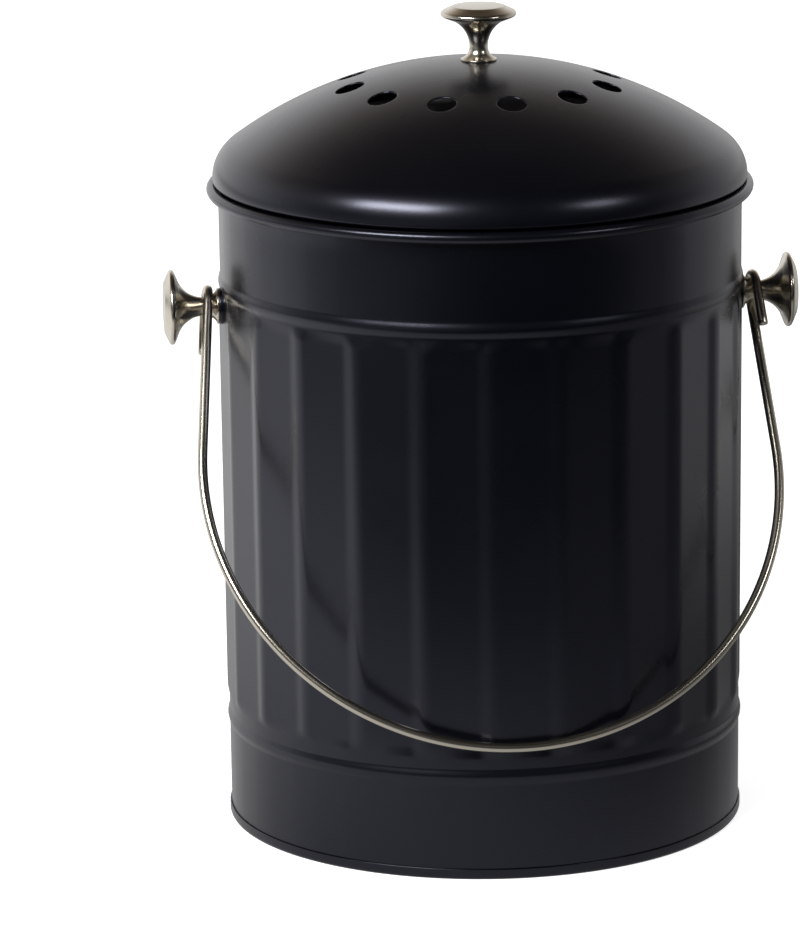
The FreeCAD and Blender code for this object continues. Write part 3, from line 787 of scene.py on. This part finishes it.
    def base(self) -> bpy.types.Object:
        """Mesh of the base panel with its folded seam ring.

        Returns:
            The base.
        """
        inner = self.plain(0) - self.sheet - self.seam_gap
        outer = self.plain(0) + self.seam_gap
        ring = outer + self.sheet
        leg = inner - self.sheet
        below = [(0, self.panel_lift), (self.panel_radius, self.panel_lift),
                 (self.panel_foot, self.foot_lift), (leg, self.foot_lift), (leg, 0.3)]
        roll = arc((leg + self.leg_round, self.leg_round), self.leg_round, 180, 270, 5)
        roll += arc((ring - self.seam_round, self.seam_round), self.seam_round, -90, 0, 10)
        foot_top = self.foot_lift + self.sheet
        panel_top = self.panel_lift + self.sheet
        above = [(ring, 2.0), (ring, self.seam_height), (outer, self.seam_height), (outer, self.sheet),
                 (inner, self.sheet), (inner, foot_top), (self.panel_foot, foot_top),
                 (self.panel_radius, panel_top), (0, panel_top)]
        profile = rounded(below, radius=0.5, steps=4) + roll + rounded(above, radius=0.45)
        return lathe("pail_base_panel", profile, segments=240, sharp=40)

    def seats(self) -> bpy.types.Object:
        """Pressed round seats under the handle knobs, as a pair of shallow discs with soft edges.

        Returns:
            Both seats as one piece.
        """
        outer = self.knob_seat - self.seat_clear
        inner = self.plain(self.pivot_height) - self.seat_sink
        section = [(self.screw_hole, inner), (self.seat_radius, inner), (self.seat_radius, outer),
                   (self.screw_hole, outer)]
        profile = rounded(section, radius=0.3, steps=3)
        up = Matrix.Translation((0, 0, self.pivot_height * MM))
        pair = [lathe("handle_seats", profile, segments=64, ring=True) for _ in range(2)]
        for disc, quarter in zip(pair, (math.pi / 2, -math.pi / 2)):
            disc.data.transform(up @ Matrix.Rotation(quarter, 4, "Y"))
        return join(*pair)

    def build(self, coat: bpy.types.Material) -> None:
        """Build the pail's sheet-metal pieces.

        Args:
            coat: Powder coat.
        """
        settle(self.wall(), Body.PAIL, Slot.COAT, coat, "pail_wall")
        settle(self.seats(), Body.PAIL, Slot.COAT, coat)
        settle(self.base(), Body.PAIL, Slot.COAT, coat, "pail_base")


@dataclass
class Knob:
    """Turned mushroom knob. Sizes in mm from its seat, angles in degrees."""

    bore: float = 2.05
    bore_edge: float = 3.0
    flange: float = 6.2
    flange_edge: float = 0.7
    flange_top: float = 0.82
    flange_in: float = 5.9
    neck: float = 3.2
    neck_low: float = 4.8
    neck_high: float = 5.0
    flare: float = 4.3
    bell: float = 9.956
    bell_end: float = 8.5
    bell_height: float = 13.8
    head: float = 13.0
    edge: float = 1.05
    edge_height: float = 16.355
    edge_turn: float = 62.0
    under: tuple[float, float] = (12.1, 15.28)
    slope: tuple[tuple[float, float], ...] = ((12.25, 17.4), (11.9, 17.57), (11.2, 17.91), (10.6, 18.19))
    shoulder: tuple[float, float] = (10.0, 18.46)
    shoulder_in: float = 2.0
    shoulder_drop: float = 0.14
    top: float = 8.8
    top_drop: float = 0.25
    crown: float = 121.8
    crown_flat: float = 1.0
    height: float = 19.25

    def profile(self) -> Points:
        """Half section from the seat to the middle of the crowned top face.

        Returns:
            Radius and height of each point, in mm.
        """
        rim = [(self.bore_edge, 0.0), (self.flange, 0.0), (self.flange, self.flange_edge),
               (self.flange_in, self.flange_top)]
        foot = [(self.bore, 0.0)] + rounded(rim, radius=0.3, steps=4)
        flare = arc((self.neck + self.flare, self.neck_low), self.flare, 247, 180, 14)
        bell = arc((self.neck + self.bell, self.neck_high), self.bell, 180, 120, 22)
        under = rounded([bell[-1], (self.bell_end, self.bell_height), self.under], radius=2.5, steps=6)
        edge = arc((self.head - self.edge, self.edge_height), self.edge, -self.edge_turn, self.edge_turn, 16)
        bend = [self.shoulder, (self.top, self.height - self.top_drop),
                (self.top - self.shoulder_in, self.height - self.shoulder_drop)]
        shoulder = list(self.slope) + rounded(bend, radius=1.2, steps=8)
        crown = [(r, self.height - max(r - self.crown_flat, 0) ** 2 / (2 * self.crown))
                 for r in np.linspace(6.0, 0.0, 7).tolist()]
        return foot + flare + bell[:-1] + under + edge + shoulder + crown

    def build(self, name: str, place: Matrix, body: Body, nickel: bpy.types.Material) -> bpy.types.Object:
        """Turn one knob and set it on its seat.

        Args:
            name: Node that the knob stands for.
            place: Transform from the knob's own axis to its seat, in metres.
            body: Body that it moves with.
            nickel: Plating.

        Returns:
            The knob.
        """
        knob = lathe(name + "_turning", self.profile(), segments=128, sharp=50)
        knob.matrix_world = place
        return settle(knob, body, Slot.NICKEL, nickel, name)


@dataclass
class Bail:
    """Bow of round wire with a hook over each knob's neck. Sizes in mm."""

    pivot_height: float
    wire: float = 3.4
    grip_height: float = 47.3
    grip_stand: float = 92.221
    bow: float = 100.0
    hook: float = 6.06
    drop: float = 0.4
    stand: float = 94.953
    tail: float = 15.0

    def path(self) -> np.ndarray:
        """Middle line of the wire from one cut end to the other.

        Returns:
            The points, in mm.
        """
        fall = self.pivot_height - self.grip_height
        hang = math.atan2(self.grip_stand, fall)
        reach = math.hypot(self.grip_stand, fall)
        across = np.array([1.0, 0, 0])
        down = np.array([0, -math.sin(hang), -math.cos(hang)])
        behind = np.cross(across, down)
        pivot = np.array([0, 0, self.pivot_height])
        width = math.hypot(self.stand, self.hook)
        sideways = (across * self.stand + behind * self.hook) / width
        normal = (behind * self.stand - across * self.hook) / width
        centre = reach - self.bow
        distance = math.hypot(width, centre - self.drop)
        tangent = math.atan2(self.drop - centre, width) + math.acos(self.bow / distance)

        def on_bow(along: np.ndarray, angle: float) -> np.ndarray:
            """Point of the bow at an angle, in radians, from the direction along."""
            return pivot + along * (self.bow * math.cos(angle)) + down * (centre + self.bow * math.sin(angle))

        def side(sign: int) -> list[np.ndarray]:
            """Points from the bow's end up the leg, over the hook and down to the cut end.

            Args:
                sign: 1 on the right, -1 on the left.

            Returns:
                The points, in mm.
            """
            out, front = sideways * sign, normal * -sign
            start = pivot + out * width + down * self.drop
            leaving = on_bow(out, tangent)
            rise = down * -math.cos(tangent) + out * math.sin(tangent)
            middle = start + front * self.hook
            turn = np.linspace(0, math.pi, 29)
            hook = [middle + self.hook * (-front * math.cos(a) + rise * math.sin(a)) for a in turn]
            leg = [leaving + (start - leaving) * t for t in np.linspace(0, 1, 24)[1:-1]]
            tail = [hook[-1] - rise * self.tail * t for t in np.linspace(0, 1, 6)[1:]]
            return leg + hook + tail

        grip = [on_bow(sideways, angle) for angle in np.linspace(math.pi - tangent, tangent, 121)]
        return np.array(list(reversed(side(-1))) + grip + side(1))

    def build(self, nickel: bpy.types.Material) -> bpy.types.Object:
        """Bend the wire, give it its plating and return it."""
        wire = sweep("bail_wire", self.path(), self.wire / 2)
        return settle(wire, Body.BAIL, Slot.NICKEL, nickel, "bail_handle")


@dataclass
class Lid:
    """Dome with a rounded edge, turned-in lip and a ring of vents, with its skirt and collar. Sizes in mm."""

    sheet: float = SHEET
    radius: float = 92.3
    dome: float = 146.7
    edge: float = 14.3
    hem: float = 1.5
    lip_height: float = 225.3
    lip_width: float = 3.1
    lip_soft: float = 0.3
    vent_count: int = 12
    vent_columns: int = 16
    vent_radius: float = 5.0
    vent_ring: float = 45.5
    vent_turn: float = 8.3
    vent_soft: float = 0.25
    vent_break: float = 0.07
    screw_hole: float = SCREW_HOLE
    seat_radius: float = 6.5
    seat_in: float = 0.5
    seat_out: float = 0.8
    skirt_radius: float = 89.1
    skirt_depth: float = 12.0
    skirt_flange: float = 1.6
    collar_radius: float = 62.0
    collar_depth: float = 30.0
    collar_flange: float = 5.0
    patch_low: float = 37.0
    patch_high: float = 54.0
    weld_gap: float = 0.02

    @property
    def edge_height(self) -> float:
        """Height of the widest radius above the table, in mm."""
        return self.lip_height + self.hem

    @property
    def centre(self) -> float:
        """Height of the dome's centre above the table, in mm."""
        rise = math.sqrt((self.dome - self.edge) ** 2 - (self.radius - self.edge) ** 2)
        return self.edge_height - rise

    @property
    def top(self) -> float:
        """Height of the flat seat in the middle of the dome above the table, in mm."""
        return self.over(self.seat_radius, 0.0)

    @property
    def half_pitch(self) -> float:
        """Half the angle from one vent to the next, in degrees."""
        return 180 / self.vent_count

    def over(self, radius: float, depth: float) -> float:
        """Height above the table, at a radius, of the dome's skin that lies depth mm below its outer face."""
        return self.centre + math.sqrt((self.dome - depth) ** 2 - radius ** 2)

    def dome_faces(self) -> bpy.types.Object:
        """Mesh of the dome: plain rings inside and outside the vents, and a patch round each vent.

        Returns:
            The dome.
        """
        share = (self.radius - self.edge) / (self.dome - self.edge)
        lean = math.degrees(math.asin(share))
        middle = (self.radius - self.edge, self.edge_height)
        hem = (self.radius - self.hem, self.edge_height)
        lip = self.radius - self.lip_width
        under_top = self.top - self.sheet
        seat, seat_end = self.seat_radius - self.seat_in, self.seat_radius + self.seat_out
        outer = [(self.screw_hole, self.top), (seat, self.top)]
        outer += [(r, self.over(r, 0)) for r in np.linspace(seat_end, self.patch_low, 10)]
        rim = [(r, self.over(r, 0)) for r in np.linspace(self.patch_high, self.dome * share - 0.4, 14)]
        rim += arc(middle, self.edge, 90 - lean, 0, 26)
        rim += arc(hem, self.hem, 0, -90, 12)[1:]
        rim += [(lip + self.lip_soft, self.lip_height), (lip, self.lip_height + self.lip_soft),
                (lip + self.lip_soft, self.lip_height + self.sheet)]
        rim += arc(hem, self.hem - self.sheet, -90, 0, 8)
        rim += arc(middle, self.edge - self.sheet, 0, 90 - lean, 16)[1:]
        inward = np.linspace(self.dome * share - 0.8, self.patch_high, 12)
        rim += [(r, self.over(r, self.sheet)) for r in inward]
        under = [(r, self.over(r, self.sheet)) for r in np.linspace(self.patch_low, seat_end, 10)]
        under += [(seat, under_top), (self.screw_hole, under_top)]
        hole = [(self.screw_hole, under_top), (self.screw_hole, self.top)]
        columns = self.vent_count * self.vent_columns
        angles = np.radians(self.vent_turn - self.half_pitch + np.arange(columns) * 360 / columns)
        rings = [lathe("lid_dome_sheet", profile, angles=angles) for profile in (outer, rim, under, hole)]
        return self.weld(join(*rings, self.vent_patches()))

    def vent_patches(self) -> bpy.types.Object:
        """Twelve patches of the dome, each with a round vent whose edge is softly broken.

        Returns:
            All patches as one piece.
        """
        arcs = np.radians(np.linspace(-self.half_pitch, self.half_pitch, self.vent_columns + 1))
        half = self.vent_columns // 2
        sides = np.linspace(self.patch_low, self.patch_high, 11)
        border = [(self.patch_high, a) for a in arcs[half:]] + [(r, arcs[-1]) for r in sides[::-1][1:]]
        border += [(self.patch_low, a) for a in arcs[::-1][1:]] + [(r, arcs[0]) for r in sides[1:]]
        border += [(self.patch_high, a) for a in arcs[1:half]]
        outline = np.array([(r * math.cos(a) - self.vent_ring, r * math.sin(a)) for r, a in border])
        turn = np.unwrap(np.arctan2(outline[:, 1], outline[:, 0]))
        circle = np.c_[np.cos(turn), np.sin(turn)]
        rim = circle * (self.vent_radius + self.vent_soft)
        spread = [rim + (outline - rim) * share ** 1.5 for share in np.linspace(1, 0, 9)]
        layers = [(flat, 0.0) for flat in spread]
        layers += [(circle * (self.vent_radius + self.vent_break), self.vent_break),
                   (circle * self.vent_radius, self.vent_soft),
                   (circle * self.vent_radius, self.sheet - 0.1)]
        layers += [(flat, self.sheet) for flat in reversed(spread)]
        count = len(border)
        vertices: list[list[float]] = []
        faces: list[list[int]] = []
        for vent in range(self.vent_count):
            angle = math.radians(self.vent_turn + vent * 360 / self.vent_count)
            base = len(vertices)
            for flat, depth in layers:
                x, y = flat[:, 0] + self.vent_ring, flat[:, 1]
                z = self.centre + np.sqrt((self.dome - depth) ** 2 - x ** 2 - y ** 2)
                vertices += np.c_[x * math.cos(angle) - y * math.sin(angle),
                                  x * math.sin(angle) + y * math.cos(angle), z].tolist()
            for row in range(len(layers) - 1):
                for column in range(count):
                    following = (column + 1) % count
                    faces.append([base + row * count + column, base + (row + 1) * count + column,
                                  base + (row + 1) * count + following, base + row * count + following])
        return mesh_object("vent_patches", np.array(vertices), faces)

    def weld(self, piece: bpy.types.Object) -> bpy.types.Object:
        """Merge the joined pieces' shared borders.

        Args:
            piece: Dome made of rings and patches.

        Returns:
            The same object as one skin.
        """
        mesh = bmesh.new()
        mesh.from_mesh(piece.data)
        bmesh.ops.remove_doubles(mesh, verts=mesh.verts, dist=self.weld_gap * MM)
        bmesh.ops.recalc_face_normals(mesh, faces=mesh.faces)
        mesh.to_mesh(piece.data)
        mesh.free()
        piece.data.shade_smooth()
        piece.data.set_sharp_from_angle(angle=math.radians(50))
        return piece

    def skirt(self) -> bpy.types.Object:
        """Mesh of the ring that drops in the mouth, with a rolled lower edge.

        Returns:
            The skirt.
        """
        inner = self.skirt_radius - self.sheet
        low = self.lip_height - self.skirt_depth
        high = self.lip_height + self.sheet
        flange = self.skirt_radius + self.skirt_flange
        top = high + self.sheet
        profile = [(inner, top), (inner, low), (self.skirt_radius, low), (self.skirt_radius, high),
                   (flange, high), (flange, top), (inner, top)]
        return lathe("lid_skirt_ring", rounded(profile, radius=0.28, steps=4), segments=240)

    def collar(self) -> bpy.types.Object:
        """Mesh of the filter collar with its flange against the dome.

        Returns:
            The collar.
        """
        low = self.over(0, 0) - self.collar_depth
        outside = self.collar_radius + self.sheet
        end = self.collar_radius + self.collar_flange
        profile = [(self.collar_radius, low), (outside, low), (outside, self.over(outside, 2 * self.sheet)),
                   (end, self.over(end, 2 * self.sheet)), (end, self.over(end, self.sheet)),
                   (self.collar_radius, self.over(self.collar_radius, self.sheet)), (self.collar_radius, low)]
        return lathe("filter_collar_ring", rounded(profile, radius=0.25, steps=3), segments=200)

    def build(self, coat: bpy.types.Material) -> None:
        """Build the lid's sheet-metal pieces.

        Args:
            coat: Powder coat.
        """
        settle(self.dome_faces(), Body.LID, Slot.COAT, coat, "lid_dome")
        settle(self.skirt(), Body.LID, Slot.COAT, coat, "lid_skirt")
        settle(self.collar(), Body.LID, Slot.COAT, coat, "filter_collar")


@dataclass
class Filter:
    """Slotted cup and the charcoal felt in it. Sizes in mm."""

    felt_low: float = 236.32
    felt_thickness: float = 8.0
    felt_radius: float = 59.94
    felt_round: float = 1.6
    lump: float = 0.35
    lumps_from: float = 1.0
    lump_rate: float = 260.0
    lump_shift: float = 5.0

    def felt(self) -> bpy.types.Object:
        """Disc of needled felt, thinner and lumpy where its fibres are matted.

        Returns:
            The disc.
        """
        low, high = self.felt_low, self.felt_low + self.felt_thickness
        flat = self.felt_radius - self.felt_round
        rows = [(r, low) for r in np.linspace(0, flat, 24)]
        rows += arc((flat, low + self.felt_round), self.felt_round, -90, 0, 5)[1:]
        rows += arc((flat, high - self.felt_round), self.felt_round, 0, 90, 5)
        rows += [(r, high) for r in np.linspace(flat, 0, 24)[1:]]
        piece = lathe("charcoal_felt", rows, segments=160, sharp=80)
        seed = np.random.default_rng(7)
        waves = seed.uniform(-1, 1, (10, 2))
        for vertex in piece.data.vertices:
            spot = np.array(vertex.co[:2])
            lump = np.mean([math.sin(self.lump_rate * (wave @ spot) + self.lump_shift * index)
                            for index, wave in enumerate(waves)])
            if vertex.co.z > (low + self.lumps_from) * MM:
                vertex.co.z -= (self.lump + self.lump * lump) * MM
        return piece

    def build(self, plastic: bpy.types.Material, felt: bpy.types.Material) -> None:
        """Dress the cup and lay the felt in it.

        Args:
            plastic: Moulded plastic.
            felt: Carbon felt.
        """
        dress(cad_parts["filter_cup"], plastic)
        piece = settle(self.felt(), Body.FILTER, Slot.FELT, felt, "charcoal_filter")


# Studio


def aimed(place: Place, aim: Place) -> Matrix:
    """Transform that puts a camera or lamp at a place and turns it to a point.

    Args:
        place: Where it stands, in metres.
        aim: Point that it faces, in metres.

    Returns:
        The transform.
    """
    sight = Vector(aim) - Vector(place)
    return Matrix.Translation(place) @ sight.to_track_quat("-Z", "Y").to_matrix().to_4x4()


@dataclass(frozen=True)
class SoftBox:
    """Rectangular soft box. Places and sizes in metres."""

    name: str
    place: Place
    aim: Place
    size: tuple[float, float]
    watts: float

    def build(self) -> None:
        """Hang the lamp and aim it."""
        data = bpy.data.lights.new(self.name, "AREA")
        data.shape = "RECTANGLE"
        data.size, data.size_y = self.size
        data.energy = self.watts
        lamp = bpy.data.objects.new(self.name, data)
        bpy.context.collection.objects.link(lamp)
        lamp.matrix_world = aimed(self.place, self.aim)


@dataclass
class Studio:
    """White sweep, soft lamps and the photograph's camera.

    Places in metres; the room's ramps run over the parts of a direction, from -1 to 1.
    """

    camera_at: Place = (-0.20738, -2.07768, 0.635)
    camera_aim: Place = (-0.02859, 0.00246, 0.12067)
    camera_roll: float = 0.668
    camera_reach: float = 50.0
    sensor_mm: float = 36.0
    focal_px: float = 6158.0
    image_width_px: int = 800
    floor_half: float = 8.0
    back: Ramp = Ramp(-0.4, 0.8, 0.05, 1.1)
    side: Ramp = Ramp(-0.5, 0.7, 1.1, 0.68)
    roof: Ramp = Ramp(0.3, 0.85, 1.0, 0.1)
    roof_colour: str = "#e6c6a4"
    fill: float = 0.45
    soft_boxes: tuple[SoftBox, ...] = (
        SoftBox("soft_box_left", (-1.08, -1.1, 1.25), (0, 0, 0.18), (1.0, 0.45), 36.0),
        SoftBox("soft_box_right", (1.15, -1.0, 1.05), (0, 0, 0.2), (0.4, 0.3), 2.8),
    )

    def camera(self) -> None:
        """Set the camera where the photograph was taken."""
        data = bpy.data.cameras.new("photo_camera")
        data.sensor_fit = "HORIZONTAL"
        data.sensor_width = self.sensor_mm
        data.lens = self.focal_px * self.sensor_mm / self.image_width_px
        data.clip_end = self.camera_reach
        camera = bpy.data.objects.new("photo_camera", data)
        bpy.context.collection.objects.link(camera)
        roll = Matrix.Rotation(-math.radians(self.camera_roll), 4, "Z")
        camera.matrix_world = aimed(self.camera_at, self.camera_aim) @ roll
        bpy.context.scene.camera = camera

    def floor(self) -> None:
        """Lay the paper sweep."""
        half = self.floor_half
        mesh = bpy.data.meshes.new("floor")
        corners = [(-half, -half, 0), (half, -half, 0), (half, half, 0), (-half, half, 0)]
        mesh.from_pydata(corners, [], [(0, 1, 2, 3)])
        floor = bpy.data.objects.new("floor", mesh)
        bpy.context.collection.objects.link(floor)
        mesh.materials.append(PaperSweep().build())

    def room(self) -> None:
        """Light the room: white to the camera, a dim studio with a bright left and back in reflections."""
        world = bpy.data.worlds.new("studio")
        bpy.context.scene.world = world
        world.use_nodes = True
        tree = world.node_tree
        tree.nodes.clear()
        path = add_node(tree, "LightPath")
        way = add_node(tree, "SeparateXYZ", [add_node(tree, "TexCoord").outputs["Generated"]])
        back = add_node(tree, "MapRange", (way.outputs[1], *self.back), interpolation_type="SMOOTHSTEP")
        side = add_node(tree, "MapRange", (way.outputs[0], *self.side))
        roof = add_node(tree, "MapRange", (way.outputs[2], *self.roof), interpolation_type="SMOOTHSTEP")
        glow = add_node(tree, "Math", (back, side), operation="MULTIPLY")
        shine = add_node(tree, "Math", (glow, roof), operation="MULTIPLY")
        warmth = add_node(tree, "Mix", {0: roof, 6: linear(self.roof_colour), 7: WHITE}, data_type="RGBA")
        mirror = add_node(tree, "Background", {"Color": warmth.outputs[2], "Strength": shine})
        fill = add_node(tree, "Background", {"Color": WHITE, "Strength": self.fill})
        white = add_node(tree, "Background", {"Color": WHITE, "Strength": 1.0})
        bounce = add_node(tree, "MixShader", (path.outputs["Is Glossy Ray"], fill, mirror))
        whole = add_node(tree, "MixShader", (path.outputs["Is Camera Ray"], bounce, white))
        add_node(tree, "OutputWorld", [whole])

    def build(self) -> None:
        """Set the stage."""
        bpy.context.scene.view_settings.view_transform = "Standard"
        self.camera()
        self.floor()
        self.room()
        for soft_box in self.soft_boxes:
            soft_box.build()


def main() -> None:
    """Build every sub-assembly and the studio."""
    logging.basicConfig(level=logging.INFO, format="%(name)s: %(message)s")
    coat = PowderCoat().build()
    turned = NickelPlate("polished_nickel_turning", Lines.TURNED).build()
    drawn = NickelPlate("polished_nickel_wire", Lines.DRAWN).build()
    zinc = ZincPlate().build()
    pail = Pail()
    lid = Lid()
    pail.build(coat)
    lid.build(coat)
    seat = pail.knob_seat * MM
    pivot = pail.pivot_height * MM
    knob = Knob()
    for name, sign in (("handle_knob_right", 1), ("handle_knob_left", -1)):
        turn = Matrix.Rotation(sign * math.pi / 2, 4, "Y")
        knob.build(name, Matrix.Translation((sign * seat, 0, pivot)) @ turn, Body.PAIL, turned)
    knob.build("lid_knob", Matrix.Translation((0, 0, lid.top * MM)), Body.LID, turned)
    Bail(pail.pivot_height).build(drawn)
    Filter().build(MouldedPlastic().build(), CarbonFelt().build())
    for name in ("handle_screws", "handle_washers", "lid_knob_screw", "lid_knob_washer"):
        dress(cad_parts[name], zinc)
        LOG.info("%s keeps its solid", name)
    Studio().build()


if __name__ == "__main__":
    main()
